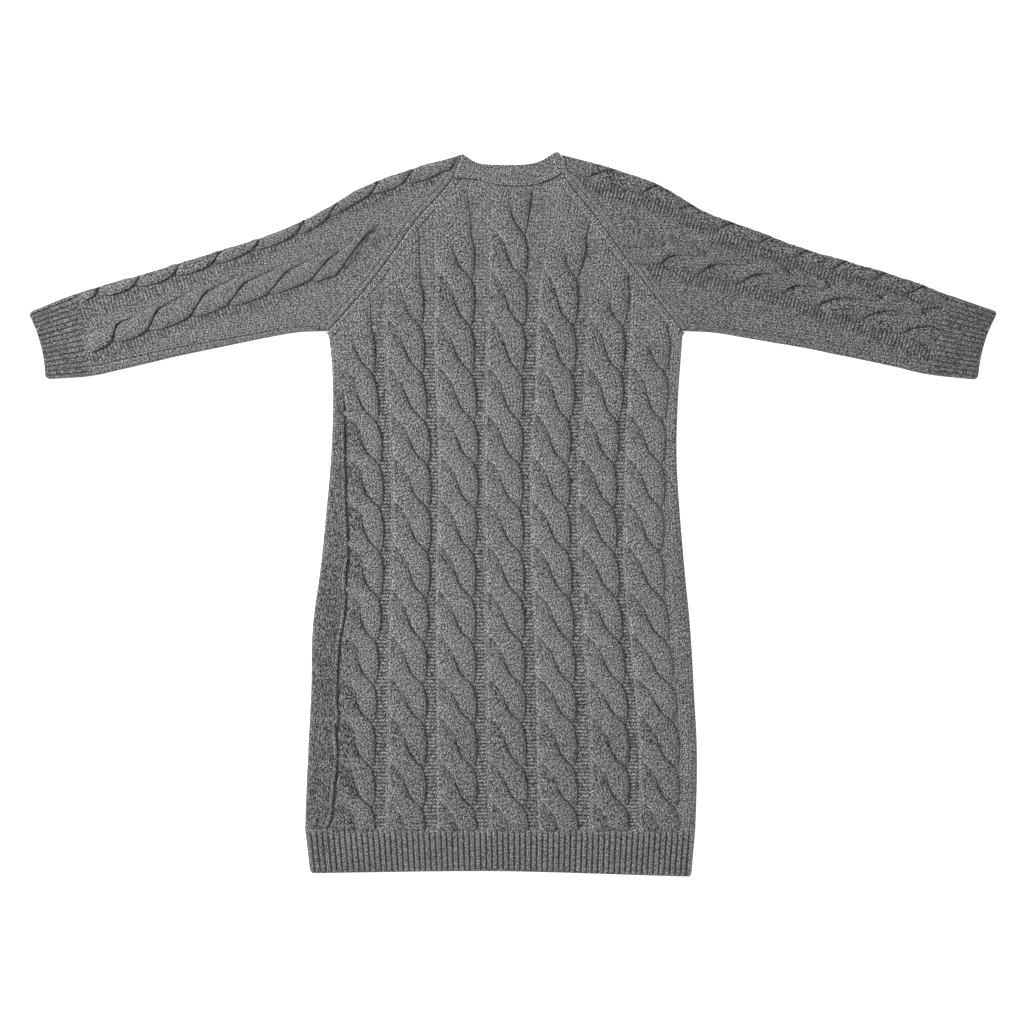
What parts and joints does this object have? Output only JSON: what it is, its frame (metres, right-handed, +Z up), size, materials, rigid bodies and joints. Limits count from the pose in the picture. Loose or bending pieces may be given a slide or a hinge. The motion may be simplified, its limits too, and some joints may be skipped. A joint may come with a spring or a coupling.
{
  "type": "midi cardigan",
  "caption": "Long raglan cardigan in chunky grey cable knit with ribbed hem, cuffs and bands, laid flat with its back upwards.",
  "frame": {"origin": "on the surface that the cardigan lies on, under the middle of its outline", "axes": "+X towards the wearer's right hand, +Y from the hem to the neck, +Z up, out of the back of the garment"},
  "size_m": [1.3706, 1.0248, 0.0109],
  "materials": {
    "cable_knit": "heather grey wool, cable knit, matt",
    "rib_knit": "heather grey wool, one by one rib, matt"
  },
  "bodies": {
    "root": {"back": "cable_knit", "front_left": "cable_knit", "front_right": "cable_knit", "sleeve_left": "cable_knit", "sleeve_right": "cable_knit", "cuff_left": "rib_knit", "cuff_right": "rib_knit", "hem_back": "rib_knit", "hem_front_left": "rib_knit", "hem_front_right": "rib_knit", "neck_band": "rib_knit", "front_band_left": "rib_knit", "front_band_right": "rib_knit"}
  },
  "joints": []
}
